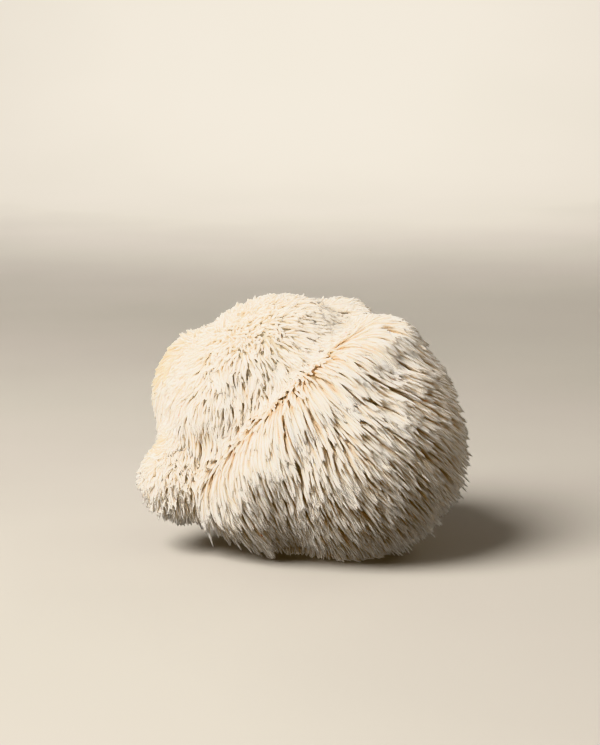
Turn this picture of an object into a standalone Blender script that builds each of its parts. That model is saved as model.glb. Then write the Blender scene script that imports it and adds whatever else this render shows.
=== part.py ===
"""A lion's mane mushroom, picked whole and set down on the flat of its cut base.

The fruiting body grew as one piece, so it is one solid. This solid is the envelope that the tips of its
hanging spines reach: a cluster of swollen lobes with soft folds between them, cut off flat underneath.
Metres, +Z up, the origin under the middle of the body on the plane that it rests on. +X is to the
right and +Y away from a viewer who looks at the broad fold between the crown and the mane.
"""

import math

import bmesh
import bpy
from mathutils import Euler, Matrix, Vector

MM = 0.001

# Driving dimensions: the box that the body fills, over its spine tips.
WIDTH = 135 * MM
DEPTH = 116 * MM
HEIGHT = 105 * MM

# The body is modelled this much deeper than it stands, and the rest is cut off flat.
CUT_DEPTH = 4 * MM

# The lobes, in millimetres: centre (x, y, z), radii, and the turn of the long radius up from +X about Y,
# in degrees. z counts from the cut.
LOBES = {
    "crown": ((-15, -3, 76), (34, 30, 27), 28),
    "crown_front": ((-32, -5, 57), (23, 26, 27), 0),
    "crown_back": ((12, 22, 79), (23, 22, 21), 0),
    "mane": ((19, -4, 43), (47, 45, 47), 0),
    "mane_brow": ((1, -20, 52), (50, 27, 24), 47),
    "mane_shoulder": ((31, -3, 75), (21, 24, 21), 0),
    "mane_chin": ((-17, -13, 29), (27, 26, 26), 45),
    "cheek": ((-48, -4, 27), (20, 20, 22), 0),
    "nape": ((-38, 20, 57), (25, 26, 32), 0),
    "back": ((4, 28, 42), (42, 32, 38), 0),
    "back_shoulder": ((24, 30, 54), (26, 26, 28), 0),
    "back_heel": ((-22, 30, 26), (29, 26, 24), 0),
    "foot": ((2, 8, 14), (36, 34, 18), 0),
}
LOBE_SUBDIVISIONS = 5

# The lobes are fused on a grid of this pitch, and the folds between them are softened.
GRID = 4.2 * MM
SOFTENING_STEPS = 5
SOFTENING = 0.5

# Points this near the cut are drawn onto it, so that the cut leaves no slivers.
SNAP = 0.4 * MM

FLESH_COLOUR = (0.86, 0.78, 0.64, 1.0)
FLESH_ROUGHNESS = 0.72


def clear_scene():
    for item in list(bpy.data.objects):
        bpy.data.objects.remove(item, do_unlink=True)


def lobe_matrix(centre, radii, turn):
    """Where a unit ball goes to become this lobe."""
    place = Matrix.Translation(Vector(centre) * MM)
    lean = Euler((0, -math.radians(turn), 0)).to_matrix().to_4x4()
    swell = Matrix.Diagonal((*(r * MM for r in radii), 1))
    return place @ lean @ swell


def overlapping_lobes():
    """One mesh of all the lobes, still as separate balls that run through each other."""
    shapes = bmesh.new()
    for centre, radii, turn in LOBES.values():
        bmesh.ops.create_icosphere(
            shapes,
            subdivisions=LOBE_SUBDIVISIONS,
            radius=1,
            matrix=lobe_matrix(centre, radii, turn),
        )
    mesh = bpy.data.meshes.new("lobes")
    shapes.to_mesh(mesh)
    shapes.free()
    return mesh


def fused(lobes, collection):
    """The balls as one skin with soft folds, from a voxel remesh and a smoothing pass."""
    guide = bpy.data.objects.new("lobes", lobes)
    collection.objects.link(guide)
    fuse = guide.modifiers.new("fuse", "REMESH")
    fuse.mode = "VOXEL"
    fuse.voxel_size = GRID
    soften = guide.modifiers.new("soften", "SMOOTH")
    soften.factor = SOFTENING
    soften.iterations = SOFTENING_STEPS
    graph = bpy.context.evaluated_depsgraph_get()
    skin = bpy.data.meshes.new_from_object(guide.evaluated_get(graph))
    bpy.data.objects.remove(guide)
    return skin


def fit_to_box(skin):
    """Scales the skin to the driving dimensions and stands it CUT_DEPTH into the cut plane."""
    low, high = (Vector(f(v.co[i] for v in skin.vertices) for i in range(3)) for f in (min, max))
    size = high - low
    box = Vector((WIDTH, DEPTH, HEIGHT + CUT_DEPTH))
    foot = Vector(((low.x + high.x) / 2, (low.y + high.y) / 2, low.z))
    scale = Matrix.Diagonal((*(box[i] / size[i] for i in range(3)), 1))
    skin.transform(Matrix.Translation((0, 0, -CUT_DEPTH)) @ scale @ Matrix.Translation(-foot))


def cut_base(skin):
    """Cuts the body off on the plane z = 0 and closes the cut with one flat face."""
    body = bmesh.new()
    body.from_mesh(skin)
    bmesh.ops.triangulate(body, faces=body.faces)
    for vertex in body.verts:
        if abs(vertex.co.z) < SNAP:
            vertex.co.z = 0
    everything = body.verts[:] + body.edges[:] + body.faces[:]
    cut = bmesh.ops.bisect_plane(
        body,
        geom=everything,
        dist=SNAP / 100,
        plane_co=(0, 0, 0),
        plane_no=(0, 0, 1),
        clear_inner=True,
    )
    rim = [e for e in cut["geom_cut"] if isinstance(e, bmesh.types.BMEdge)]
    bmesh.ops.contextual_create(body, geom=rim)
    bmesh.ops.recalc_face_normals(body, faces=body.faces)
    body.to_mesh(skin)
    body.free()


def mushroom_material():
    material = bpy.data.materials.new("mushroom_flesh")
    material.use_nodes = True
    shader = material.node_tree.nodes["Principled BSDF"]
    shader.inputs["Base Color"].default_value = FLESH_COLOUR
    shader.inputs["Roughness"].default_value = FLESH_ROUGHNESS
    shader.inputs["Metallic"].default_value = 0.0
    return material


def main():
    clear_scene()
    parts = bpy.data.collections.new("lions_mane_mushroom")
    bpy.context.scene.collection.children.link(parts)
    skin = fused(overlapping_lobes(), parts)
    fit_to_box(skin)
    cut_base(skin)
    skin.name = "fruiting_body"
    skin.materials.clear()
    skin.materials.append(mushroom_material())
    skin.shade_smooth()
    parts.objects.link(bpy.data.objects.new("fruiting_body", skin))


main()
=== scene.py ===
# %% [markdown]
# # A lion's mane mushroom, spine by spine
#
# A lion's mane has no cap and no gills. It is a cluster of swollen lobes of soft white flesh, and each lobe
# carries thousands of hanging spines, about a millimetre thick and a centimetre or two long. They grew
# straight down while the mushroom hung on its log, so on each lobe they part at the top like hair at a
# crown, lie along the sides, and stand free underneath.
#
# The solid that comes with this lesson is the envelope that the spine tips reach. Here that solid is
# shrunk to the flesh under the spines, and then every spine is grown on it as a thin tapered tube. Hair
# curves would be the quick way to make them, but only a true mesh can be exported, weighed and lit like the
# rest of the model, so the spines are plain triangles, close to nine hundred thousand in all.
#
# Blender's noise takes its start from the clock unless it gets a seed. It gets one in the first cell, so each
# run grows the same mushroom, and another seed grows another one of the same kind.

# %% The frame
import itertools
import math

import bmesh
import bpy
import numpy as np
from mathutils import Matrix, Vector, noise
from mathutils.bvhtree import BVHTree
from mathutils.kdtree import KDTree


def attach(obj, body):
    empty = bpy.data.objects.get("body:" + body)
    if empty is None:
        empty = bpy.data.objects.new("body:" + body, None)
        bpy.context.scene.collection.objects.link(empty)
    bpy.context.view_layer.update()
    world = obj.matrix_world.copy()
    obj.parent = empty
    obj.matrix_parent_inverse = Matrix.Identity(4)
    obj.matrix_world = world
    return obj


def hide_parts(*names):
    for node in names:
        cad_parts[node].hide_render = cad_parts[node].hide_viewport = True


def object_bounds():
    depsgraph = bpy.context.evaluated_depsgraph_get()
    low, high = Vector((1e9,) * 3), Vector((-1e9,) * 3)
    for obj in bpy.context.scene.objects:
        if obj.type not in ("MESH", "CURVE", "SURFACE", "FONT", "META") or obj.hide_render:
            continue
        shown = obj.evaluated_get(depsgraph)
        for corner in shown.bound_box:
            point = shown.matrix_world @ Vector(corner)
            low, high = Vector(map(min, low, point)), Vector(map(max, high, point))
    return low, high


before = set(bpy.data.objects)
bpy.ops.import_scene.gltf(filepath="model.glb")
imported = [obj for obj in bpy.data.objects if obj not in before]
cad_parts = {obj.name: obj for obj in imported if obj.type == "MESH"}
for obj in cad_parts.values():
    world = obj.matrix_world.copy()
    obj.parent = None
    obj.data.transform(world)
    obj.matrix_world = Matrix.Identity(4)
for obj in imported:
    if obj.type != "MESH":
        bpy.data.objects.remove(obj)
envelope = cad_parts["fruiting_body"]
envelope_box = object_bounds()
MM = 0.001
SEED = 7
noise.seed_set(SEED)
print("the envelope is", [round(side / MM, 1) for side in envelope_box[1] - envelope_box[0]], "mm")

# %% [markdown]
# ## The camera
#
# A picture is matched from its viewing angle first. This one was taken with a long lens that looked down by
# about ten degrees, so the lobes show little perspective. The body's width and place in the picture
# give the distance and the aim, and no lens shift is needed.

# %% The camera
IMAGE_WIDTH, IMAGE_HEIGHT = 600, 745
BODY_WIDTH_PX = 331
BODY_CENTRE_PX = (303, 424)
LENS_MM, SENSOR_MM = 100, 36
ELEVATION = math.radians(10)
BODY_CENTRE = Vector((0, 0, 50 * MM))

focal_px = LENS_MM / SENSOR_MM * IMAGE_HEIGHT
body_width = envelope_box[1].x - envelope_box[0].x
distance = focal_px * body_width / BODY_WIDTH_PX
below_axis = math.atan((BODY_CENTRE_PX[1] - IMAGE_HEIGHT / 2) / focal_px)
right_of_axis = math.atan((BODY_CENTRE_PX[0] - IMAGE_WIDTH / 2) / focal_px)
look_down = ELEVATION + below_axis

camera = bpy.data.objects.new("camera", bpy.data.cameras.new("camera"))
camera.data.lens = LENS_MM
camera.data.sensor_width = SENSOR_MM
camera.location = BODY_CENTRE + distance * Vector((0, -math.cos(look_down), math.sin(look_down)))
camera.rotation_euler = (math.pi / 2 - ELEVATION, 0, right_of_axis)
bpy.context.scene.collection.objects.link(camera)
bpy.context.scene.camera = camera
print("the camera stands", round(distance, 3), "m away")

# %% [markdown]
# ## Small tools for arrays
#
# There are about fifteen thousand spines, so their points are kept in NumPy arrays, in millimetres, and one
# line of array maths moves them all. These helpers are the only vector maths that the lesson needs.

# %% Small tools for arrays
TINY = 1e-9
DRIFT_SHIFTS = (17.3, 5.9, -11.1)


def unit(vectors):
    """The vectors at length one. A zero vector stays zero."""
    vectors = np.asarray(vectors, float)
    return vectors / np.maximum(np.linalg.norm(vectors, axis=-1, keepdims=True), TINY)


def dots(a, b):
    """The dot product of each pair of vectors, kept as a column."""
    return np.sum(a * b, axis=-1, keepdims=True)


def ramp(low, high, values):
    """0 below low, 1 above high and a smooth rise between them. low may be the larger one."""
    t = np.clip((values - low) / (high - low), 0, 1)
    return t * t * (3 - 2 * t)


def mix(a, b, amount):
    """a where the amount is 0, b where it is 1, and a blend between."""
    return a + (b - a) * amount


def drift(points, size, seed):
    """A smooth random vector at each point, which changes over about this many millimetres."""
    start = Vector([seed * shift for shift in DRIFT_SHIFTS])
    return np.array([noise.noise_vector(Vector(p) / size + start) for p in points])


print("a ramp from 0 to 10 gives", [round(float(ramp(0, 10, place)), 2) for place in (0, 2, 5, 8, 10)])

# %% [markdown]
# ## The way it grew
#
# Spines hang towards the ground of the place where the mushroom grew, and it was laid down on another side
# afterwards. In the picture the seam that parts the crown from the mane runs down to the left. The spines
# beside its lower end fall straight down, those at its upper end slant to the right, and those of the mane
# slant to the right and away. So the direction of the fall depends on the place: one band along the seam
# turns the left fall into the right one, and another band, below the seam, turns both into the mane's.
#
# The cosine between the surface's normal and the fall says what grows there: at -1 the surface faced the
# sky, and its spines are short, woolly and tangled; around 0 they lie combed along the side; at +1 they
# hang free and are longest.

# %% The way it grew
LEFT_FALL, RIGHT_FALL = unit((0.22, 0.06, -0.97)), unit((0.64, 0.20, -0.74))
MANE_FALL = unit((0.54, 0.38, -0.75))
SEAM_PLACE, SEAM_SIDE = np.array((-14, -30, 64)), unit((-0.69, 0.12, 0.72))
SEAM_RUN = unit((0.62, 0, 0.78))
LEFT_TO_RIGHT, SEAM_TO_MANE = (28, 70), (-10, -45)


def above_seam(points):
    """How far each point is on the crown's side of the seam, in mm. On the mane's side it is below 0."""
    return dots(points - SEAM_PLACE, SEAM_SIDE)


def fall(points):
    """The direction in which spines hang at each point."""
    beside_seam = mix(LEFT_FALL, RIGHT_FALL, ramp(*LEFT_TO_RIGHT, dots(points, SEAM_RUN)))
    return unit(mix(beside_seam, MANE_FALL, ramp(*SEAM_TO_MANE, above_seam(points))))


def facing(normals, points):
    """The cosine between the normals and the fall."""
    return dots(normals, fall(points))


print("in the middle of the seam the fall is", fall(SEAM_PLACE[None])[0].round(2))

# %% [markdown]
# ## Four kinds of ground
#
# The body wears four kinds of spines. The brow, just below the seam at the front, has broad strands that
# are combed one way: the longest are rooted close below the seam, and they cover the others. The upper side
# of the crown is covered by a thin fleece of fine curly ones, which turn short and woolly where the surface
# faced the sky. The seam itself is crowded with short ones that start upright. Everything else is shag, which
# is deepest underneath. Each kind is a mask between 0 and 1 that depends on the place, so that the kinds
# blend at their edges.
#
# A band is a pair of places between which a mask rises from 0 to 1. Most are in millimetres above the seam,
# the brow's left end is in X and the front half in Y, and the upper side and the skyward one are cosines.

# %% Four kinds of ground
BROW_UPPER_EDGE, BROW_LOWER_EDGE, BROW_LEFT_END = (3, -1), (-42, -26), (-46, -39)
FRONT_HALF = (12, -14)
COVER_BAND = (-14, -5)
CROWN_BAND, UPPER_SIDE = (-12, 0), (0.25, -0.3)
WOOL_BAND, SKYWARD, WOOL_ON_MANE = (-6, 2), (-0.4, -0.85), 0.4
CHEEK, CHEEK_RADIUS, CHEEK_CORE, CHEEK_WOOL = np.array((-54, -14, 32)), 30, 18, 0.8
SEAM_BAND = (6, 1)


def brow(points):
    """1 on the brow, the band of the mane below its seam at the front, and 0 elsewhere."""
    side = above_seam(points)
    front = ramp(*FRONT_HALF, points[:, 1:2]) * ramp(*BROW_LEFT_END, points[:, 0:1])
    return ramp(*BROW_UPPER_EDGE, side) * ramp(*BROW_LOWER_EDGE, side) * front


def covering(points):
    """1 close below the seam, where the strands are rooted that cover the rest of the brow."""
    return ramp(*COVER_BAND, above_seam(points))


def fine(points, normals):
    """1 where the spines are fine, short and curly, on the upper side of the crown."""
    upper = ramp(*UPPER_SIDE, facing(normals, points))
    return upper * ramp(*CROWN_BAND, above_seam(points)) * (1 - brow(points))


def woolly(points, normals):
    """1 on the cheek, and where the surface faced the sky while it grew, most of all on the crown."""
    off_mane = ramp(*WOOL_BAND, above_seam(points))
    cheek = ramp(CHEEK_RADIUS, CHEEK_CORE, np.linalg.norm(points - CHEEK, axis=1, keepdims=True))
    skyward = ramp(*SKYWARD, facing(normals, points)) * mix(WOOL_ON_MANE, 1, off_mane)
    return np.maximum(skyward, CHEEK_WOOL * cheek) * (1 - brow(points))


def at_seam(points):
    """1 along the seam at the front."""
    return ramp(*SEAM_BAND, abs(above_seam(points))) * ramp(*FRONT_HALF, points[:, 1:2])


print("the brow is", BROW_UPPER_EDGE[0] - BROW_LOWER_EDGE[0], "mm broad, with its soft edges")

# %% [markdown]
# ## How deep the spines are
#
# The layer of spines is thin where the surface faced up, because there they lie flat, and thickest
# underneath, where they hang away from the flesh. The fleece on the crown is the thinnest.

# %% How deep the spines are
MANE_ON_TOP, MANE_UNDERNEATH, FLEECE = 3.0, 11.5, 2.5
THICKENING = 1.5


def mane_thickness(points, normals):
    """How deep the layer of spines is, in mm, from the flesh to the tips."""
    underneath = ((facing(normals, points) + 1) / 2) ** THICKENING
    return mix(mix(MANE_ON_TOP, MANE_UNDERNEATH, underneath), FLEECE, fine(points, normals))


print("the layer is", MANE_ON_TOP, "mm deep on top,", MANE_UNDERNEATH, "underneath,", FLEECE, "in the fleece")

# %% [markdown]
# ## Measuring on a grid
#
# Many steps need to know where the corners of a mesh are, and how far a point is from its surface, which a
# tree of the faces answers quickly. The third helper blurs a grid of such distances. It averages each node
# with its neighbours again and again, and that comes close to a bell-shaped blur.


# %% Measuring on a grid
def corners(mesh):
    """The corner points of a mesh, one in each row."""
    points = np.empty(len(mesh.vertices) * 3)
    mesh.vertices.foreach_get("co", points)
    return points.reshape(-1, 3)


def signed_distance(tree, point):
    """The distance from a point to the nearest face, below 0 on the inside."""
    place, normal, _, far = tree.find_nearest(point)
    return far if (point - place).dot(normal) > 0 else -far


def blurred(grid, times):
    """Each node averaged with its neighbours along the three axes, several times over."""
    for _ in range(times):
        for axis in range(3):
            grid = 0.5 * grid + 0.25 * (np.roll(grid, 1, axis) + np.roll(grid, -1, axis))
    return grid


spike = np.zeros((5, 5, 5))
spike[2, 2, 2] = 1
print("one blur leaves", blurred(spike, 1)[2, 2, 2], "of a spike of 1")

# %% [markdown]
# ## A field of distances
#
# A growing spine has to know, anywhere around the mushroom, how high it is over the flesh and which way is
# out. Asking the mesh each time gives the normal of one flat face after another, and the spines would kink.
# So the distance is measured once on a coarse grid, and read between the grid's nodes, which makes
# both the height and the outward direction smooth.
#
# A blurred copy of the same grid has a second use. On a round lobe the blur makes the distance larger, and
# in a fold between two lobes, where flesh is near on both sides, it makes it smaller. So the blurred
# distance, read on the surface, finds the folds.

# %% A field of distances
PITCH = 2.2
MARGIN = 20
FOLD_BLUR = 16
SHORT_OF_LAST_NODE = 1.001


class DistanceField:
    """The distance to a closed mesh, in mm, with the outward direction and the folds."""

    def __init__(self, points, faces):
        tree = BVHTree.FromPolygons(points, faces)
        self.low = points.min(0) - MARGIN
        steps = [np.arange(a, b, PITCH) for a, b in zip(self.low, points.max(0) + MARGIN)]
        nodes = np.stack(np.meshgrid(*steps, indexing="ij"), -1)
        far = np.array([signed_distance(tree, Vector(p)) for p in nodes.reshape(-1, 3)])
        far = blurred(far.reshape(nodes.shape[:3]), 1)
        self.height_grid = far[..., None]
        self.outward_grid = np.stack(np.gradient(far, PITCH), -1)
        self.soft_grid = blurred(far, FOLD_BLUR)[..., None]

    def read(self, grid, points):
        """The grid's values at points that lie between its nodes."""
        last = np.array(grid.shape[:3]) - SHORT_OF_LAST_NODE
        cell = np.clip((points - self.low) / PITCH, 0, last)
        node = cell.astype(int)
        part = cell - node
        total = 0
        for corner in itertools.product((0, 1), repeat=3):
            weight = np.prod(np.where(corner, part, 1 - part), axis=1)
            total = total + weight[:, None] * grid[tuple((node + corner).T)]
        return total

    def height(self, points):
        return self.read(self.height_grid, points)

    def outward(self, points):
        return unit(self.read(self.outward_grid, points))

    def fold(self, points, open_lobe, deep):
        """0 on an open lobe and 1 in a deep fold, for these two values of the blurred distance."""
        return ramp(open_lobe, deep, self.read(self.soft_grid, points) - self.height(points))


print("a field has a node every", PITCH, "mm and reaches", MARGIN, "mm past its mesh")

# %% [markdown]
# ## The shrunk envelope
#
# The flesh is the envelope moved inwards by the depth of the spines. Moving each corner along its normal is
# enough, because the lobes are round and an inward move opens their folds instead of crossing them. The folds
# are cut a little deeper on the way, so that the spines of two lobes meet in a real cleft. The flat of the
# cut has to stay a flat, so it is first drawn down into a stump that the move can't lift off the floor.

# %% The shrunk envelope
STUMP = 16
FACES_DOWN, ON_THE_BASE = -0.99, 0.05
WELD = 0.01
FOLD_DEPTH = 0.8
CLEFT = (0.3, -1.3)


def without_base(mesh):
    """The envelope as a bmesh in mm, its flat base replaced by a stump that runs on down."""
    skin = bmesh.new()
    skin.from_mesh(mesh)
    skin.transform(Matrix.Scale(1 / MM, 4))
    bmesh.ops.remove_doubles(skin, verts=skin.verts, dist=WELD)
    facing_down = [f for f in skin.faces if f.normal.z < FACES_DOWN]
    base = [f for f in facing_down if f.calc_center_median().z < ON_THE_BASE]
    bmesh.ops.delete(skin, geom=base, context="FACES")
    rim = [e for e in skin.edges if e.is_boundary]
    stump = bmesh.ops.extrude_edge_only(skin, edges=rim)["geom"]
    lowered = [v for v in stump if isinstance(v, bmesh.types.BMVert)]
    bmesh.ops.translate(skin, verts=lowered, vec=(0, 0, -STUMP))
    bmesh.ops.contextual_create(skin, geom=[e for e in skin.edges if e.is_boundary])
    bmesh.ops.recalc_face_normals(skin, faces=skin.faces)
    bmesh.ops.triangulate(skin, faces=skin.faces)
    return skin


def shrunk_envelope():
    """The envelope moved inwards by the depth of the spines, as a mesh in mm."""
    skin = without_base(envelope.data)
    skin.normal_update()
    normals = np.array([v.normal for v in skin.verts])
    points = np.array([v.co for v in skin.verts])
    field = DistanceField(points, [[v.index for v in f.verts] for f in skin.faces])
    depths = mane_thickness(points, normals) + FOLD_DEPTH * field.fold(points, *CLEFT)
    for vertex, place in zip(skin.verts, points - normals * depths):
        vertex.co = place
    mesh = bpy.data.meshes.new("flesh")
    skin.to_mesh(mesh)
    skin.free()
    return mesh


shrunk_mesh = shrunk_envelope()
print("the shrunk envelope has", len(shrunk_mesh.polygons), "faces, stump and all")

# %% [markdown]
# ## The flesh
#
# The move stretches some faces and squeezes others. A voxel remesh evens them out, and after it the stump is
# cut off again at the floor. Corners that are nearly on the floor are first put on it, so that the cut leaves
# no slivers.

# %% The flesh
FLESH_GRID, FLESH_SMOOTHING = 2.2, 2
SNAP, CUT_TOLERANCE = 0.2, 0.001


def remeshed(mesh, grid, smoothing_steps):
    """A new mesh on an even grid, from Blender's voxel remesh and a smoothing pass."""
    holder = bpy.data.objects.new("holder", mesh)
    bpy.context.scene.collection.objects.link(holder)
    even = holder.modifiers.new("even", "REMESH")
    even.mode = "VOXEL"
    even.voxel_size = grid
    soft = holder.modifiers.new("soft", "SMOOTH")
    soft.iterations = smoothing_steps
    graph = bpy.context.evaluated_depsgraph_get()
    result = bpy.data.meshes.new_from_object(holder.evaluated_get(graph))
    bpy.data.objects.remove(holder)
    return result


def cut_at_floor(mesh):
    """Cuts the stump off at z = 0 and closes the hole with one flat face."""
    body = bmesh.new()
    body.from_mesh(mesh)
    bmesh.ops.triangulate(body, faces=body.faces)
    for vertex in body.verts:
        if abs(vertex.co.z) < SNAP:
            vertex.co.z = 0
    plane = {"plane_co": (0, 0, 0), "plane_no": (0, 0, 1)}
    everything = body.verts[:] + body.edges[:] + body.faces[:]
    cut = bmesh.ops.bisect_plane(body, geom=everything, dist=CUT_TOLERANCE, clear_inner=True, **plane)
    rim = [e for e in cut["geom_cut"] if isinstance(e, bmesh.types.BMEdge)]
    bmesh.ops.contextual_create(body, geom=rim)
    bmesh.ops.recalc_face_normals(body, faces=body.faces)
    body.to_mesh(mesh)
    body.free()


flesh_mesh = remeshed(shrunk_mesh, FLESH_GRID, FLESH_SMOOTHING)
cut_at_floor(flesh_mesh)
flesh_mesh.name = "flesh"
flesh = DistanceField(corners(flesh_mesh), [p.vertices[:] for p in flesh_mesh.polygons])
print("the flesh has", len(flesh_mesh.polygons), "faces, and its field", flesh.height_grid.size, "nodes")

# %% [markdown]
# ## Nodes from Python
#
# A node tree is easier to read as a sum than as a web of links. This class holds one socket of a tree.
# Arithmetic on it adds Math nodes, and its one method for all other nodes takes a type, settings and inputs.

# %% Nodes from Python
MIX_COLOUR_A, MIX_COLOUR_B, MIX_COLOUR_OUT = 6, 7, 2


class Wire:
    """A socket of a node tree that can be used in sums."""

    def __init__(self, tree, socket=None):
        self.tree = tree
        self.socket = socket

    def node(self, kind, settings=None, inputs=None, output=0):
        """A new node: its settings first, then the values or links of its sockets."""
        made = self.tree.nodes.new(kind)
        for name, value in (settings or {}).items():
            if name == "stops":
                set_stops(made.color_ramp, value)
            else:
                setattr(made, name, value)
        for name, value in (inputs or {}).items():
            if isinstance(value, Wire):
                self.tree.links.new(value.socket, made.inputs[name])
            else:
                made.inputs[name].default_value = value
        return Wire(self.tree, made.outputs[output] if made.outputs else None)

    def math(self, operation, a, b=0.0):
        return self.node("ShaderNodeMath", {"operation": operation}, {0: a, 1: b})

    def __add__(self, other):
        return self.math("ADD", self, other)

    def __sub__(self, other):
        return self.math("SUBTRACT", self, other)

    def __rsub__(self, other):
        return self.math("SUBTRACT", other, self)

    def __mul__(self, other):
        return self.math("MULTIPLY", self, other)

    __radd__ = __add__
    __rmul__ = __mul__

    def __abs__(self):
        return self.math("ABSOLUTE", self)

    def __floor__(self):
        return self.math("FLOOR", self)

    def rise(self, low, high):
        """0 below low, 1 above high and a smooth rise between them."""
        ends = {"Value": self, "From Min": low, "From Max": high}
        return self.node("ShaderNodeMapRange", {"interpolation_type": "SMOOTHSTEP"}, ends)

    def mixed(self, a, b):
        """Colour a where this wire is 0 and colour b where it is 1."""
        inputs = {0: self, MIX_COLOUR_A: a, MIX_COLOUR_B: b}
        return self.node("ShaderNodeMix", {"data_type": "RGBA"}, inputs, MIX_COLOUR_OUT)


def set_stops(ramp_data, stops):
    """Gives a colour ramp these (place, colour) stops."""
    elements = ramp_data.elements
    while len(elements) > 1:
        elements.remove(elements[-1])
    elements[0].position, elements[0].color = stops[0]
    for place, colour in stops[1:]:
        elements.new(place).color = colour


practice = bpy.data.node_groups.new("practice", "ShaderNodeTree")
upside_down = 1 - Wire(practice).node("ShaderNodeTexNoise") * 2
print("1 - noise * 2 makes", len(practice.nodes), "nodes, and gives a", upside_down.socket.type)
bpy.data.node_groups.remove(practice)

# %% [markdown]
# ## Where the spines stand
#
# Spines stand close together and never in rows. A Poisson disk pattern is like that: random, but no two
# points nearer than a set distance. Blender's *Distribute Points on Faces* makes one, so a small node tree
# scatters places for roots over the flesh, and they are read back as plain points. Each kind of ground then
# takes its own share of the places: long spines cover each other and need fewer roots, short ones need
# nearly all.

# %% Where the spines stand
ROOT_SPACING = 0.95
ROOTS_PER_MM2 = 9.0
LOWEST_ROOT = 1.2
SHAG_SHARE, HANGING_SHARE, CURLY_SHARE, WOOL_SHARE = 0.48, 0.6, 0.66, 0.98
BROW_SHARE, COVER_SHARE, SEAM_SHARE = 0.36, 0.55, 0.9
HANGING = (0.2, 0.7)


def scattered_roots(mesh):
    """Points all over the mesh in a Poisson disk pattern."""
    tree = bpy.data.node_groups.new("scatter", "GeometryNodeTree")
    tree.interface.new_socket("Geometry", in_out="INPUT", socket_type="NodeSocketGeometry")
    tree.interface.new_socket("Geometry", in_out="OUTPUT", socket_type="NodeSocketGeometry")
    surface = Wire(tree).node("NodeGroupInput")
    pattern = {"Mesh": surface, "Distance Min": ROOT_SPACING, "Density Max": ROOTS_PER_MM2, "Seed": SEED}
    points = surface.node("GeometryNodeDistributePointsOnFaces", {"distribute_method": "POISSON"}, pattern)
    corners_only = surface.node("GeometryNodePointsToVertices", None, {"Points": points})
    surface.node("NodeGroupOutput", None, {"Geometry": corners_only})
    holder = bpy.data.objects.new("holder", mesh.copy())
    bpy.context.scene.collection.objects.link(holder)
    holder.modifiers.new("scatter", "NODES").node_group = tree
    graph = bpy.context.evaluated_depsgraph_get()
    result = corners(bpy.data.meshes.new_from_object(holder.evaluated_get(graph)))
    bpy.data.objects.remove(holder)
    return result


chance = np.random.default_rng(SEED)
roots = scattered_roots(flesh_mesh)
roots = roots[roots[:, 2] > LOWEST_ROOT]
root_normals = flesh.outward(roots)
share = mix(SHAG_SHARE, HANGING_SHARE, ramp(*HANGING, facing(root_normals, roots)))
share = mix(share, CURLY_SHARE, fine(roots, root_normals))
share = mix(share, WOOL_SHARE, woolly(roots, root_normals))
share = mix(share, mix(BROW_SHARE, COVER_SHARE, covering(roots)), brow(roots))
share = mix(share, SEAM_SHARE, at_seam(roots))
print(len(roots), "places for a root")
roots = roots[chance.random(len(roots)) < share[:, 0]]
root_normals = flesh.outward(roots)
count = len(roots)
print(count, "spines")

# %% [markdown]
# ## Tufts and locks
#
# The spines keep together in tufts of about five, and more loosely in locks of about twenty. Each root
# belongs to the nearest of a few thousand tuft leaders, which a k-d tree finds quickly, and takes part of
# its wilfulness from the leader. The masks of the four kinds are read here too, once for every root, because
# all the steps that follow need them.

# %% Tufts and locks
ROOTS_PER_TUFT, ROOTS_PER_LOCK = 5, 22


def leaders(per_group):
    """For each root, the index of the root that leads its group."""
    chosen = chance.permutation(count)[: count // per_group]
    tree = KDTree(len(chosen))
    for index in chosen:
        tree.insert(roots[index], index)
    tree.balance()
    return np.array([tree.find(place)[1] for place in roots])


tuft, lock = leaders(ROOTS_PER_TUFT), leaders(ROOTS_PER_LOCK)
crest, cover, seam = brow(roots), covering(roots), at_seam(roots)
curly, wool = fine(roots, root_normals), woolly(roots, root_normals)
print(count // ROOTS_PER_TUFT, "tufts and", count // ROOTS_PER_LOCK, "locks")

# %% [markdown]
# ## How long
#
# Nothing on a mushroom is even. Each length is a rule for its kind of ground, times a slow drift that makes
# one patch shaggier than the next, times chance. Shag that hangs free is about as long as the layer is
# deep. Shag that lies along the side climbs slowly through the layer, so it is longer than that.

# %% How long
WOOL_LENGTH, CURLY_LENGTH, SHAG_LENGTH, SEAM_LENGTH = 4.5, 9.5, 12.5, 7.0
BROW_LENGTH, COVER_LENGTH = 14.0, 21.0
SHORTEST, LONGEST = 3.0, 33.0
CLIMB_HANGING, CLIMB_LYING, LEAST_CLIMB = 0.9, 0.25, 0.3
PATCH_SIZE, PATCH_CHANGE = 13, 0.25
LENGTH_CHANCE, BROW_LENGTH_CHANCE, CHANCE_LIMIT = 0.14, 0.2, 2.5

thickness = mane_thickness(roots, root_normals)
climb = np.maximum(CLIMB_HANGING * facing(root_normals, roots) + CLIMB_LYING, LEAST_CLIMB)
shag_length = mix(np.minimum(thickness / climb, SHAG_LENGTH), CURLY_LENGTH, curly)
brow_length = mix(BROW_LENGTH, COVER_LENGTH, cover)
lengths = mix(mix(mix(shag_length, brow_length, crest), SEAM_LENGTH, seam), WOOL_LENGTH, wool)
patch = drift(roots, PATCH_SIZE, 1)
length_chance = chance.normal(0, 1, (count, 1)).clip(-CHANCE_LIMIT, CHANCE_LIMIT)
length_chance = length_chance * mix(LENGTH_CHANCE, BROW_LENGTH_CHANCE, crest)
lengths = lengths * (1 + PATCH_CHANGE * patch[:, :1]) * (1 + length_chance)
lengths = lengths.clip(SHORTEST, LONGEST)
print("lengths from", lengths.min().round(1), "to", lengths.max().round(1), "mm")

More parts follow.
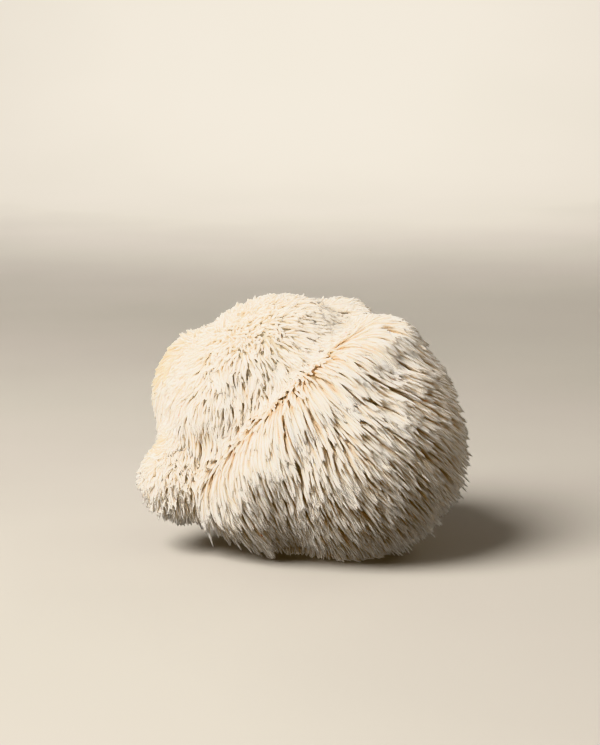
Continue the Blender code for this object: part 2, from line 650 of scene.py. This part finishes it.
# %% [markdown]
# ## How high the tips stand
#
# The tips make the surface that is seen, so the shape of the whole is in their heights. Many of them reach
# the top of the layer, and the others end on the way and fill it. On the brow nearly all come to the top,
# which makes it smooth. Only at its left end do they stand well off the flesh, where the chin overhangs the
# cheek. On the fleece and the brow everything is calmer than in the shag.

# %% How high the tips stand
SHAG_FILL, CURLY_FILL, BROW_FILL = 0.55, 0.8, 0.85
BROW_FILL_CHANCE, TUFT_HEIGHT_CHANCE = 0.05, 0.06
OVERSHOOT, PATCH_HEIGHT = 1.12, 0.25
CALMER, CALMER_PATCHES = 0.6, 0.7
BROW_STAND, CHIN_STAND = 0.12, 0.5
CHIN_LEFT_END, CHIN_BAND = (-33, -39), (8, -8)
WOOL_HEIGHT = 0.42

layer = mix(mix(SHAG_FILL, CURLY_FILL, curly), 1, chance.random((count, 1)))
brow_layer = mix(BROW_FILL, 1, cover) * chance.normal(1, BROW_FILL_CHANCE, (count, 1))
layer = mix(layer, brow_layer, crest)
chin_edge = crest * ramp(*CHIN_LEFT_END, roots[:, 0:1]) * ramp(*CHIN_BAND, above_seam(roots))
unevenness = PATCH_HEIGHT * (1 - CALMER * curly) * (1 - CALMER_PATCHES * crest)
tip_heights = thickness * (OVERSHOOT + patch[:, 1:2] * unevenness) * layer
tip_heights = tip_heights * (1 + BROW_STAND * crest + CHIN_STAND * chin_edge)
tuft_heights = chance.normal(0, TUFT_HEIGHT_CHANCE, (count, 1))[tuft]
tip_heights = tip_heights * (1 + tuft_heights * (1 - CALMER * crest))
tip_heights = mix(tip_heights, WOOL_HEIGHT * lengths, wool)
print("the tips stand", tip_heights.min().round(1), "to", tip_heights.max().round(1), "mm over the flesh")

# %% [markdown]
# ## Wilfulness
#
# No spine follows the fall exactly. Each has a push to one side that lasts all its life: a part that it
# shares with its tuft, a part of its own, and a part that drifts slowly over the whole body. On the
# fleece the push is stronger and the spines curl. In the wool and at the seam it is strong enough to tangle
# them.

# %% Wilfulness
TUFT_WILL, CURLY_TUFT_WILL = 0.06, 0.22
ROOT_WILL, CURLY_ROOT_WILL = 0.035, 0.12
WOOL_WILL, WOOL_CHANCE, WOOL_SWIRL, SWIRL_SIZE = 0.9, 0.6, 0.5, 4
SEAM_WILL = 0.3
SLOW_WILL, SLOW_SIZE = 0.18, 20

tuft_whim = chance.normal(0, 1, (count, 3))[tuft] * mix(TUFT_WILL, CURLY_TUFT_WILL, curly)
root_whim = chance.normal(0, 1, (count, 3)) * mix(ROOT_WILL, CURLY_ROOT_WILL, curly)
swirls = drift(roots, SWIRL_SIZE, 2)
wool_whim = mix(swirls, chance.normal(0, WOOL_CHANCE, (count, 3)), WOOL_SWIRL) * WOOL_WILL * wool
seam_whim = chance.normal(0, SEAM_WILL, (count, 3)) * seam
slow_whim = SLOW_WILL * drift(roots, SLOW_SIZE, 3)
whims = tuft_whim + root_whim + wool_whim + seam_whim + slow_whim
print("the sideways pushes are", np.linalg.norm(whims, axis=1).mean().round(2), "on average")

# %% [markdown]
# ## Which way
#
# All the spines grow together, in short steps. At each step a spine looks up how high it is and
# which way is out, leans towards the fall, climbs or sinks to the height it should have by then,
# and moves on. It leaves the flesh straight out, and bends over after that. On the brow it also leans away
# from the seam, so that the whole brow is combed one way. Where the surface faced down, it hangs free.

# %% Which way
PARTING, PARTED_BAND = 0.4, (-30, -8)
SHAG_BEND, BROW_BEND, WOOL_BEND = 2.1, 2.3, 1.4
CORRECTED_OVER, STEEPEST_DOWN, STEEPEST_UP = 0.25, -0.7, 1.6
FREE_FACE, FREE_WILL = (0.0, 0.6), 0.6
LEAVING, LEAVING_PULL = (0.22, 0.0), 0.8


def heading(points, grown, lengths):
    """The direction in which each spine grows on, when it has this part of its length."""
    out = flesh.outward(points)
    height = flesh.height(points)
    down = fall(points)
    face = dots(down, out)
    bend = whims - PARTING * parted * SEAM_SIDE
    along = unit(down - face * out + bend - dots(bend, out) * out)
    wanted = tip_heights * (1 - (1 - grown) ** bend_power)
    rise = ((wanted - height) / (CORRECTED_OVER * lengths)).clip(STEEPEST_DOWN, STEEPEST_UP)
    lying = unit(along + rise * out)
    hanging = unit(down + FREE_WILL * whims)
    free = ramp(*FREE_FACE, face)
    leaving = ramp(*LEAVING, grown)
    return unit(mix(mix(lying, hanging, free), root_normals, LEAVING_PULL * leaving))


bend_power = mix(mix(SHAG_BEND, BROW_BEND, crest), WOOL_BEND, wool)
parted = crest * ramp(*PARTED_BAND, above_seam(roots))
print("the parting turns", int((parted > 0).sum()), "spines away from the seam")

# %% [markdown]
# ## Growing
#
# A path is kept at eight places only, closer together near the tip, where a spine tapers and curls. They
# become the rings of its tube. A spine that would run into the wall of the next lobe is held back: the first
# growth finds where the outward direction has turned away from the root's, and the second stops there.

# %% Growing
RING_PLACES = np.array([0, 0.15, 0.32, 0.5, 0.68, 0.84, 0.95, 1.0])
STEPS_PER_RING = 3
ROOT_DEPTH = 0.6
FLOOR_GAP, ROOM_TO_BEND = 0.35, 0.6
SAME_WALL = 0.3
EXTRA_GROWTH, EXTRA_CHANCE, LEAST_KEPT, NEARLY_WHOLE = 0.05, 0.06, 0.4, 0.95


def grown_paths(lengths):
    """The paths of spines of these lengths: for each spine, its place at each ring."""
    points = roots - ROOT_DEPTH * root_normals
    paths = [points]
    for ring in range(1, len(RING_PLACES)):
        step = (RING_PLACES[ring] - RING_PLACES[ring - 1]) / STEPS_PER_RING
        for part in range(STEPS_PER_RING):
            grown = RING_PLACES[ring - 1] + step * (part + 1)
            points = points + heading(points, grown, lengths) * lengths * step
            points[:, 2] = np.maximum(points[:, 2], FLOOR_GAP + ROOM_TO_BEND)
        paths.append(points)
    return np.stack(paths, 1)


def free_part(paths):
    """The part of each path that stays over its own wall."""
    part = np.ones((count, 1))
    for ring in range(len(RING_PLACES) - 1, 1, -1):
        turned = dots(flesh.outward(paths[:, ring]), root_normals) < SAME_WALL
        part = np.where(turned, RING_PLACES[ring], part)
    return part


extra = chance.normal(EXTRA_GROWTH, EXTRA_CHANCE, (count, 1))
kept = (free_part(grown_paths(lengths)) + extra).clip(LEAST_KEPT, 1)
lengths = np.maximum(lengths * kept, SHORTEST)
paths = grown_paths(lengths)
print("grown:", paths.shape, "and held back:", int((kept < NEARLY_WHOLE).sum()))

# %% [markdown]
# ## Closing and curling
#
# Soft wet spines cling together. Each path is drawn towards its leader's path, more and more
# towards the tip, so that tufts close at the ends and slits open between them. Then each spine gets a
# gentle wave, which its neighbours share, a curl of its own near the end, and a tip that lifts off a little
# and catches the light.

# %% Closing and curling
SHAG_TUFT_PULL, CURLY_TUFT_PULL, BROW_TUFT_PULL, LEAST_TUFT_PULL = 0.12, 0.2, 0.12, 0.2
SHAG_LOCK_PULL, BROW_LOCK_PULL, LEAST_LOCK_PULL = 0.03, 0.06, 0.4
CLOSING_POWER, CURL_POWER, LIFT_POWER = 1.4, 4, 7
SHAG_WAVE, CURLY_WAVE, WAVE_SIZE = 0.18, 0.8, 4.5
SHAG_CURL, CURLY_CURL = 0.25, 0.35
TIP_LIFT, LIFT_CHANCE, LIFT_LIMIT = 0.8, 0.6, 2.5


def drawn_together(paths, leader, pull):
    """Paths pulled towards those of their leaders, by pull at the tips."""
    amount = pull * RING_PLACES[None, :, None] ** CLOSING_POWER
    return mix(paths, paths[leader], amount)


tuft_pull = mix(mix(SHAG_TUFT_PULL, CURLY_TUFT_PULL, curly), BROW_TUFT_PULL, crest)[:, None]
lock_pull = mix(SHAG_LOCK_PULL, BROW_LOCK_PULL, crest)[:, None]
paths = drawn_together(paths, lock, lock_pull * chance.uniform(LEAST_LOCK_PULL, 1, (count, 1, 1))[lock])
paths = drawn_together(paths, tuft, tuft_pull * chance.uniform(LEAST_TUFT_PULL, 1, (count, 1, 1))[tuft])
along = RING_PLACES[None, :, None]
waves = drift(paths.reshape(-1, 3), WAVE_SIZE, 4).reshape(paths.shape)
waves = waves * mix(SHAG_WAVE, CURLY_WAVE, curly)[:, None]
curl = chance.normal(0, 1, (count, 1, 3)) * mix(SHAG_CURL, CURLY_CURL, curly)[:, None]
lift = TIP_LIFT * (1 - CALMER * np.maximum(curly, crest))
lift = lift * chance.normal(1, LIFT_CHANCE, (count, 1)).clip(0, LIFT_LIMIT)
lift = lift * flesh.outward(paths[:, -1])
paths = paths + waves * along + curl * along**CURL_POWER + lift[:, None] * along**LIFT_POWER
paths[..., 2] = np.maximum(paths[..., 2], FLOOR_GAP)
print("the tips lift by", np.linalg.norm(lift, axis=1).mean().round(2), "mm on average")

# %% [markdown]
# ## Thick and thin
#
# A spine is nearly as thick at its middle as at its root, and ends blunt. The strands of the brow are the
# thickest and the wool is the thinnest. The taper gives the radius at every ring but the last, which is the
# tip, as a part of the spine's own radius.

# %% Thick and thin
BROW_RADIUS, SHAG_RADIUS, CURLY_RADIUS, WOOL_RADIUS, SEAM_RADIUS = 0.50, 0.48, 0.46, 0.43, 0.46
RADIUS_CHANCE, RADIUS_LIMITS = 0.1, (0.75, 1.25)
TAPER = np.array([1.0, 1.05, 1.05, 1.02, 0.96, 0.84, 0.62])

widths = mix(mix(mix(SHAG_RADIUS, CURLY_RADIUS, curly), WOOL_RADIUS, wool), BROW_RADIUS, crest)
widths = mix(widths, SEAM_RADIUS, seam)
radii = widths * chance.normal(1, RADIUS_CHANCE, (count, 1)).clip(*RADIUS_LIMITS) * TAPER
print("the spines are", (2 * radii[:, 0]).mean().round(2), "mm thick on average")

# %% [markdown]
# ## Pale and dark
#
# The colour paints light and shade in. Out in the open a spine is painted white, as if lit, and in the gaps
# it is painted amber, for the shade there and the warm light that has come through other spines. So each
# ring gets a painted lightness: partly how near the tip it is, and mostly how high it stands in the layer.
# The thin fleece and the wool get little painted shade all through. Each spine also has a tint, a whole
# number that makes some of them yellower. Most of it is chance, but in two places on the upper left all the
# spines are straw yellow.

# %% Pale and dark
LIGHTNESS_BY_HEIGHT, OPEN_HEIGHT, FLEECE_LIGHTNESS = 0.7, 0.95, 0.75
LIGHTNESS_EDGE = 0.02
TINTS = 8
CHANCE_TINT, YELLOW_TINT = 0.4, 0.7
YELLOW_PLACES = {(-52, 14, 74): 22, (-54, -8, 42): 13}

yellowness = sum(ramp(r, 0, np.linalg.norm(roots - place, axis=1)) for place, r in YELLOW_PLACES.items())
tints = TINTS * (CHANCE_TINT * chance.random(count) + YELLOW_TINT * yellowness)
tints = tints.clip(0, TINTS - 1).astype(int)
# Painted shade: a ring low in the layer gets a low lightness, which the shader paints amber, and an open one
# is painted white.
path_heights = flesh.height(paths.reshape(-1, 3)).reshape(paths.shape[:2])
openness = (path_heights / (OPEN_HEIGHT * thickness)).clip(0, 1)
painted_lightness = mix(RING_PLACES[None], openness, LIGHTNESS_BY_HEIGHT)
painted_lightness = mix(painted_lightness, mix(FLEECE_LIGHTNESS, 1, painted_lightness), np.maximum(curly, wool))
painted_lightness = mix(LIGHTNESS_EDGE, 1 - LIGHTNESS_EDGE, painted_lightness)
print("the airiness runs from", painted_lightness.min().round(2), "to", painted_lightness.max().round(2))

# %% [markdown]
# ## From paths to tubes
#
# A spine is a tube with a blunt end, and smooth shading makes it look round. The broad ones get six sides
# and all their rings. The shag and the fine ones are thinner and shorter, so five sides and fewer rings
# are enough for them, and that leaves triangles for more of them.

# %% From paths to tubes
KINDS = {
    "fine": (5, [0, 2, 3, 4, 6, 7]),
    "shag": (5, [0, 1, 3, 4, 5, 6, 7]),
    "broad": (6, [0, 1, 2, 3, 4, 5, 6, 7]),
}
MOSTLY_CURLY, PARTLY_BROW = 0.5, 0.3
NUDGE = 0.01 * np.array([0.3, 0.8, 0.5])


def ring_corners(paths, radii, normals, sides):
    """The corners of all rings but the last, whose place is the tip. The nudge is for a straight path."""
    tangents = unit(np.gradient(paths, axis=1))
    across = np.cross(normals, paths[:, -1] - paths[:, 0])
    across = unit(across + NUDGE)[:, None]
    across = unit(across - dots(across, tangents) * tangents)
    third = np.cross(tangents, across)
    turns = np.arange(sides) * math.tau / sides - math.pi / 2
    circle = np.cos(turns)[:, None] * across[:, :, None] + np.sin(turns)[:, None] * third[:, :, None]
    return paths[:, :-1, None] + radii[:, :, None, None] * circle[:, :-1]


def spine_pattern(ring_count, sides):
    """The faces of one spine, with how far around (0 to 1) and on which ring each of their corners is."""
    faces, around, rings = [], [], []
    for ring in range(ring_count - 2):
        for side in range(sides):
            a, b = ring * sides + side, ring * sides + (side + 1) % sides
            faces.append((a, b, b + sides, a + sides))
            around += [side / sides, (side + 1) / sides, (side + 1) / sides, side / sides]
            rings += [ring, ring, ring + 1, ring + 1]
    last, tip = (ring_count - 2) * sides, (ring_count - 1) * sides
    for side in range(sides):
        faces.append((last + side, last + (side + 1) % sides, tip))
        around += [side / sides, (side + 1) / sides, (side + 0.5) / sides]
        rings += [ring_count - 2, ring_count - 2, ring_count - 1]
    faces.append(tuple(reversed(range(sides))))
    around += [side / sides for side in range(sides)]
    rings += [0] * sides
    return faces, np.array(around), np.array(rings)


kinds = np.where(crest[:, 0] > PARTLY_BROW, "broad", "shag")
kinds = np.where(curly[:, 0] > MOSTLY_CURLY, "fine", kinds)
for kind, (sides, rings) in KINDS.items():
    faces = spine_pattern(len(rings), sides)[0]
    print((kinds == kind).sum(), kind, "spines of", sum(len(f) - 2 for f in faces), "triangles")

# %% [markdown]
# ## One mesh of many spines
#
# All spines of a kind share one pattern of faces, repeated with an offset, so a whole piece is built with a
# few array operations. The map (UV) of a spine runs around it in `u`, and `v` is its painted lightness, ring
# by ring, which the shader turns into painted amber shade in the gaps and white in the open.
# `u` is also divided into strips, one for each tint, which is how a spine carries its own colour. A spine
# keeps a little inside its strip's edges, so that a baked map doesn't bleed from one strip to the next.

# %% One mesh of many spines
STRIP_EDGE = 0.04


def tubes(chosen, sides, rings):
    """The corner points, face corners, face sizes and map of the chosen spines, as flat arrays."""
    some = paths[chosen][:, rings]
    body = ring_corners(some, radii[chosen][:, rings[:-1]], root_normals[chosen], sides)
    points = np.concatenate([body.reshape(len(some), (len(rings) - 1) * sides, 3), some[:, -1:]], 1)
    faces, around, corner_rings = spine_pattern(len(rings), sides)
    offsets = np.arange(len(some))[:, None] * points.shape[1]
    face_corners = (np.concatenate(faces)[None] + offsets).ravel()
    sizes = np.tile([len(f) for f in faces], len(some))
    u = (tints[chosen][:, None] + mix(STRIP_EDGE, 1 - STRIP_EDGE, around)) / TINTS
    v = painted_lightness[chosen][:, rings][:, corner_rings]
    return points.reshape(-1, 3), face_corners, sizes, np.stack([u, v], -1).reshape(-1, 2)


def spine_mesh(name, chosen):
    """One mesh of the chosen spines, of all kinds."""
    parts, first = [], 0
    for kind, (sides, rings) in KINDS.items():
        points, face_corners, sizes, places = tubes(chosen[kinds[chosen] == kind], sides, rings)
        parts.append((points, face_corners + first, sizes, places))
        first += len(points)
    points, face_corners, sizes, places = (np.concatenate(arrays) for arrays in zip(*parts))
    mesh = bpy.data.meshes.new(name)
    mesh.vertices.add(len(points))
    mesh.vertices.foreach_set("co", (points * MM).ravel())
    mesh.loops.add(len(face_corners))
    mesh.loops.foreach_set("vertex_index", face_corners)
    mesh.polygons.add(len(sizes))
    mesh.polygons.foreach_set("loop_start", np.concatenate([[0], np.cumsum(sizes)[:-1]]))
    mesh.uv_layers.new(name="OFBake").data.foreach_set("uv", places.ravel())
    mesh.update(calc_edges=True)
    mesh.shade_smooth()
    return mesh


print("the map has", TINTS, "strips, each", round(1 / TINTS, 3), "wide")

# %% [markdown]
# ## Pieces
#
# A piece of a model should stay a manageable size, so the spines are shared out to six parts of
# the body, each to the nearest. The places are the middles of the parts, in millimetres.

# %% Pieces
PARTS = {
    "crown_spines": (-18, -20, 80),
    "nape_spines": (-42, 25, 45),
    "brow_spines": (-8, -40, 35),
    "mane_spines": (45, -25, 40),
    "back_spines": (20, 45, 60),
    "heel_spines": (5, 35, 10),
}


def add_piece(name, mesh, material):
    """A piece that rides on the body of the frame and stands for its solid."""
    piece = bpy.data.objects.new(name, mesh)
    bpy.context.scene.collection.objects.link(piece)
    mesh.materials.append(material)
    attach(piece, "root")
    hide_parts("fruiting_body")
    return piece


def triangles(mesh):
    return sum(len(p.vertices) - 2 for p in mesh.polygons)


centres = np.array(list(PARTS.values()), float)
nearest = np.argmin(np.linalg.norm(roots[:, None] - centres[None], axis=-1), axis=1)
for index, name in enumerate(PARTS):
    print(name, "gets", (nearest == index).sum(), "spines")

# %% [markdown]
# ## A soft shader
#
# Fresh flesh is moist and a little see-through: light enters it, spreads for a millimetre or two and comes
# out again, which softens every shadow. The Principled shader's subsurface scattering does just that, and
# its Burley method is quick and has little noise. All three colours spread nearly alike, because the flesh
# is white: a longer reach for red, as in skin, would give it the colour of a peach. The floor starts from
# the same helper, with no scattering.

# %% A soft shader
SUBSURFACE_MM, SUBSURFACE_BY_COLOUR = 1.6, (1.0, 0.97, 0.94)


def new_material(name, roughness, subsurface):
    """A material, its Principled shader and a first wire in its tree."""
    material = bpy.data.materials.new(name)
    material.use_nodes = True
    shader = material.node_tree.nodes["Principled BSDF"]
    shader.subsurface_method = "BURLEY"
    shader.inputs["Roughness"].default_value = roughness
    shader.inputs["Subsurface Weight"].default_value = subsurface
    shader.inputs["Subsurface Radius"].default_value = SUBSURFACE_BY_COLOUR
    shader.inputs["Subsurface Scale"].default_value = SUBSURFACE_MM * MM
    return material, shader, Wire(material.node_tree)


print("red spreads for", SUBSURFACE_MM, "mm, and blue for", round(SUBSURFACE_MM * SUBSURFACE_BY_COLOUR[2], 2))

# %% [markdown]
# ## The finish of the spines
#
# In a gap between spines the light has passed through many of them, and shade falls there, so the colour
# paints that light and shade in: white at the tips, in the open air, and painted amber shade at the roots and
# along the sides that face a neighbour. An image could be painted for it, but the spines' own map already
# says where a point is, so sums on the map give the colour, with fine streaks that run lengthwise. The
# streaks also make the bump. Two places on the upper left are straw yellow, and the tints carry that.

# %% The finish of the spines
SPINE_ROUGHNESS, SPINE_SUBSURFACE = 0.55, 0.85
# The colour ramp runs from the spines' own white to the amber of painted shade.
WHITE_TO_PAINTED_SHADE = [
    (0.0, (0.985, 0.96, 0.92, 1)),
    (0.3, (0.965, 0.915, 0.83, 1)),
    (0.65, (0.93, 0.83, 0.67, 1)),
    (1.0, (0.90, 0.72, 0.50, 1)),
]
# How much painted amber shade the gaps and the undersides of the spines get.
DEEP, GAP_SHADE_STRENGTH = (0.05, 1.0), 0.7
SIDE, SIDE_SHADE_STRENGTH, SIDE_SHADE_FADE = (0.15, 0.6), 0.7, 0.3
STREAKS_AROUND, STREAKS_ALONG, STREAK_DETAIL = 7, 5, 2.0
STREAK_MIDDLE, STREAK_AMBER, STREAK_DEPTH = 0.5, 0.25, 0.06
STRAW, STRAW_TINTS, STRAW_STRENGTH = (0.95, 0.83, 0.58, 1), (0.35, 1.0), 0.75


def spine_material():
    """White in the open, painted amber shade in gaps and under each spine, with lengthwise streaks."""
    material, shader, tree = new_material("spine", SPINE_ROUGHNESS, SPINE_SUBSURFACE)
    uv = tree.node("ShaderNodeUVMap", {"uv_map": "OFBake"})
    strip = tree.node("ShaderNodeSeparateXYZ", None, {"Vector": uv}, "X") * TINTS
    v = tree.node("ShaderNodeSeparateXYZ", None, {"Vector": uv}, "Y")
    tint = math.floor(strip)
    turn = (strip - tint - STRIP_EDGE) * (1 / (1 - 2 * STRIP_EDGE))
    underside = abs(turn * 2 - 1)
    stretched = {"X": strip * STREAKS_AROUND, "Y": v * STREAKS_ALONG}
    lengthwise = tree.node("ShaderNodeCombineXYZ", None, stretched)
    noise_inputs = {"Vector": lengthwise, "Scale": 1.0, "Detail": STREAK_DETAIL}
    streaks = tree.node("ShaderNodeTexNoise", None, noise_inputs)
    # Painted shade: amber where a ring lies deep in the layer, between other spines.
    painted_gap_shade = (1 - v).rise(*DEEP) * GAP_SHADE_STRENGTH
    # Painted shade on the underside of each spine, lighter where the ring is more open.
    painted_side_shade = underside.rise(*SIDE) * (SIDE_SHADE_STRENGTH - SIDE_SHADE_FADE * v)
    # The amount of amber: painted shade in the gaps and on the undersides, and the spines' own streaks.
    amber = painted_gap_shade + painted_side_shade + (streaks - STREAK_MIDDLE) * STREAK_AMBER
    white_and_painted_shade = tree.node("ShaderNodeValToRGB", {"stops": WHITE_TO_PAINTED_SHADE}, {"Fac": amber})
    yellow = (tint * (1 / (TINTS - 1))).rise(*STRAW_TINTS) * STRAW_STRENGTH
    links = material.node_tree.links
    links.new(yellow.mixed(white_and_painted_shade, STRAW).socket, shader.inputs["Base Color"])
    fibres = tree.node("ShaderNodeBump", None, {"Distance": STREAK_DEPTH * MM, "Height": streaks})
    links.new(fibres.socket, shader.inputs["Normal"])
    return material


spines = spine_material()
print("the spines' finish has", len(spines.node_tree.nodes), "nodes")

# %% [markdown]
# ## The finish of the flesh
#
# Little of the flesh can be seen, deep between the spines and on the flat cut. It is a fine sponge, so
# it gets cream clouds, amber pores about a millimetre apart, and a bump from the same pores. A Voronoi
# texture makes such cells, and it works from the place in space, so no map is needed.

# %% The finish of the flesh
FLESH_ROUGHNESS, FLESH_SUBSURFACE = 0.6, 0.5
FLESH_CREAM, FLESH_AMBER = (0.95, 0.88, 0.74, 1), (0.90, 0.75, 0.53, 1)
PORES_PER_METRE, PORE_DEPTH, PORE_RIM = 900, 0.35, (0.15, 0.6)
CLOUDS_PER_METRE, CLOUD_DETAIL, CLOUD_EDGE = 90, 3.0, (0.35, 0.65)
CLOUD_AMBER, PORE_AMBER = 0.5, 0.5


def flesh_material():
    """A cream sponge with amber pores."""
    material, shader, tree = new_material("flesh", FLESH_ROUGHNESS, FLESH_SUBSURFACE)
    place = tree.node("ShaderNodeTexCoord", output="Object")
    noise_inputs = {"Vector": place, "Scale": CLOUDS_PER_METRE, "Detail": CLOUD_DETAIL}
    clouds = tree.node("ShaderNodeTexNoise", None, noise_inputs)
    pores = tree.node("ShaderNodeTexVoronoi", None, {"Vector": place, "Scale": PORES_PER_METRE})
    rim = pores.rise(*PORE_RIM)
    amber = clouds.rise(*CLOUD_EDGE) * CLOUD_AMBER + (1 - rim) * PORE_AMBER
    links = material.node_tree.links
    links.new(amber.mixed(FLESH_CREAM, FLESH_AMBER).socket, shader.inputs["Base Color"])
    bumps = tree.node("ShaderNodeBump", None, {"Distance": PORE_DEPTH * MM, "Height": rim})
    links.new(bumps.socket, shader.inputs["Normal"])
    return material


sponge = flesh_material()
print("the flesh's finish has", len(sponge.node_tree.nodes), "nodes")

# %% [markdown]
# ## Putting it together
#
# Each part of the body becomes one mesh, which rides on the body of the frame and stands for its solid. The
# counts are checked here, because it is easy to ask for more spines than a model can carry.

# %% Putting it together
MOST_IN_A_PIECE, MOST_IN_ALL = 200_000, 1_000_000

total = 0
for index, name in enumerate(PARTS):
    mesh = spine_mesh(name, np.flatnonzero(nearest == index))
    add_piece(name, mesh, spines)
    total += triangles(mesh)
    print(name, triangles(mesh), "triangles")
    assert triangles(mesh) < MOST_IN_A_PIECE, name
flesh_mesh.transform(Matrix.Scale(MM, 4))
flesh_mesh.shade_smooth()
add_piece("flesh", flesh_mesh, sponge)
total += triangles(flesh_mesh)
print("all:", total, "triangles")
assert total < MOST_IN_ALL

# %% [markdown]
# ## The floor
#
# A photographer's sweep is a sheet of pale paper that curves up into a wall. This one is turned round into a
# bowl, so that it has no edge from any side. The paper has a fine tooth and is a shade darker in places. It
# is hidden from diffuse rays: it takes the shadow of the mushroom, but it sends no light back up, and so the
# lower right side keeps the deep shade that the picture has.

# %% The floor
FLOOR_RADIUS, SWEEP_RADIUS, WALL_TOP = 1.5, 0.7, 1.8
DEGREES_PER_STEP, STEPS_AROUND, WELD_METRES = 6, 72, 0.001
PAPER_PALE, PAPER_DARK, PAPER_ROUGHNESS = (0.74, 0.70, 0.64, 1), (0.69, 0.655, 0.595, 1), 0.75
TOOTH_PER_METRE, TOOTH_DETAIL, TOOTH_DEPTH = 1500, 2.0, 0.05
SHADES_PER_METRE, SHADE_DETAIL, SHADE_EDGE = 3.0, 3.0, (0.3, 0.7)


def floor_material():
    """Pale matt paper."""
    material, shader, tree = new_material("floor", PAPER_ROUGHNESS, 0)
    place = tree.node("ShaderNodeTexCoord", output="Object")
    grain_inputs = {"Vector": place, "Scale": TOOTH_PER_METRE, "Detail": TOOTH_DETAIL}
    shade_inputs = {"Vector": place, "Scale": SHADES_PER_METRE, "Detail": SHADE_DETAIL}
    grain = tree.node("ShaderNodeTexNoise", None, grain_inputs)
    shade = tree.node("ShaderNodeTexNoise", None, shade_inputs)
    links = material.node_tree.links
    links.new(shade.rise(*SHADE_EDGE).mixed(PAPER_PALE, PAPER_DARK).socket, shader.inputs["Base Color"])
    tooth = tree.node("ShaderNodeBump", None, {"Distance": TOOTH_DEPTH * MM, "Height": grain})
    links.new(tooth.socket, shader.inputs["Normal"])
    return material


def studio_bowl():
    """A round floor that sweeps up into a wall, so that no horizon shows from any side."""
    profile = bmesh.new()
    outline = [(0, 0), (FLOOR_RADIUS, 0)]
    for degrees in range(DEGREES_PER_STEP, 91, DEGREES_PER_STEP):
        turn = math.radians(degrees)
        outline.append((FLOOR_RADIUS + SWEEP_RADIUS * math.sin(turn), SWEEP_RADIUS * (1 - math.cos(turn))))
    outline.append((FLOOR_RADIUS + SWEEP_RADIUS, WALL_TOP))
    points = [profile.verts.new((x, 0, z)) for x, z in outline]
    edges = [profile.edges.new(pair) for pair in zip(points, points[1:])]
    about_z = {"cent": (0, 0, 0), "axis": (0, 0, 1), "angle": math.tau}
    bmesh.ops.spin(profile, geom=points + edges, steps=STEPS_AROUND, use_merge=True, **about_z)
    bmesh.ops.remove_doubles(profile, verts=profile.verts, dist=WELD_METRES)
    bmesh.ops.recalc_face_normals(profile, faces=profile.faces)
    mesh = bpy.data.meshes.new("floor")
    profile.to_mesh(mesh)
    profile.free()
    mesh.shade_smooth()
    return mesh


floor = bpy.data.objects.new("floor", studio_bowl())
bpy.context.scene.collection.objects.link(floor)
floor.data.materials.append(floor_material())
floor.visible_diffuse = False
print("the floor is", 2 * (FLOOR_RADIUS + SWEEP_RADIUS), "m across")

# %% [markdown]
# ## The light
#
# The picture is lit by one large soft lamp, above and in front on the left. A second, weaker one
# low on the left keeps the underside of the cheek from going grey, and a third far behind on the right
# draws the edge there. Three washers brighten the wall and miss the mushroom. The world adds a little warm
# light from everywhere, as the walls of a room do. Places and diameters are in metres, powers in watts.

# %% The light
AIM = (0, 0, 0.05)
LAMPS = {
    "key": {"place": (-0.84, -0.62, 1.14), "size": 1.0, "power": 32, "colour": (1, 0.965, 0.915)},
    "side": {"place": (-1.2, -0.8, 0.2), "size": 1.2, "power": 4, "colour": (1, 0.93, 0.84)},
    "rim": {"place": (1.3, 0.8, 0.9), "size": 1.4, "power": 5, "colour": (1, 0.92, 0.82)},
}
WASHERS = 3
WASHER = {"size": 0.5, "power": 7, "colour": (1, 0.98, 0.95), "spread": 90}
WASHER_OUT, WASHER_UP, WASHER_AIM = 1.25, 1.5, 1.9
WORLD_COLOUR, WORLD_STRENGTH = (1, 0.93, 0.84, 1), 0.12
GAMMA = 0.92
BOUNCES, DIFFUSE_BOUNCES = 16, 8


def softbox(name, place, aim, size, power, colour, spread=180):
    """A round lamp that the camera doesn't see. A small spread keeps its light in a beam."""
    light = bpy.data.lights.new(name, "AREA")
    light.shape = "DISK"
    light.size = size
    light.energy = power
    light.color = colour
    light.spread = math.radians(spread)
    lamp = bpy.data.objects.new(name, light)
    lamp.location = place
    lamp.rotation_euler = (Vector(aim) - Vector(place)).to_track_quat("-Z", "Y").to_euler()
    lamp.visible_camera = False
    bpy.context.scene.collection.objects.link(lamp)


for name, lamp in LAMPS.items():
    softbox(name, aim=AIM, **lamp)
for turn in range(WASHERS):
    azimuth = math.pi / 2 + turn * math.tau / WASHERS
    way = Vector((math.cos(azimuth), math.sin(azimuth), 0))
    place = way * WASHER_OUT + Vector((0, 0, WASHER_UP))
    softbox(f"washer_{turn}", place, way * WASHER_AIM, **WASHER)
world = bpy.data.worlds.new("studio")
bpy.context.scene.world = world
world.use_nodes = True
world.node_tree.nodes["Background"].inputs["Color"].default_value = WORLD_COLOUR
world.node_tree.nodes["Background"].inputs["Strength"].default_value = WORLD_STRENGTH
bpy.context.scene.view_settings.view_transform = "Khronos PBR Neutral"
bpy.context.scene.view_settings.gamma = GAMMA
bpy.context.scene.cycles.max_bounces = BOUNCES
bpy.context.scene.cycles.diffuse_bounces = DIFFUSE_BOUNCES
print("lamps:", ", ".join(light.name for light in bpy.data.lights))
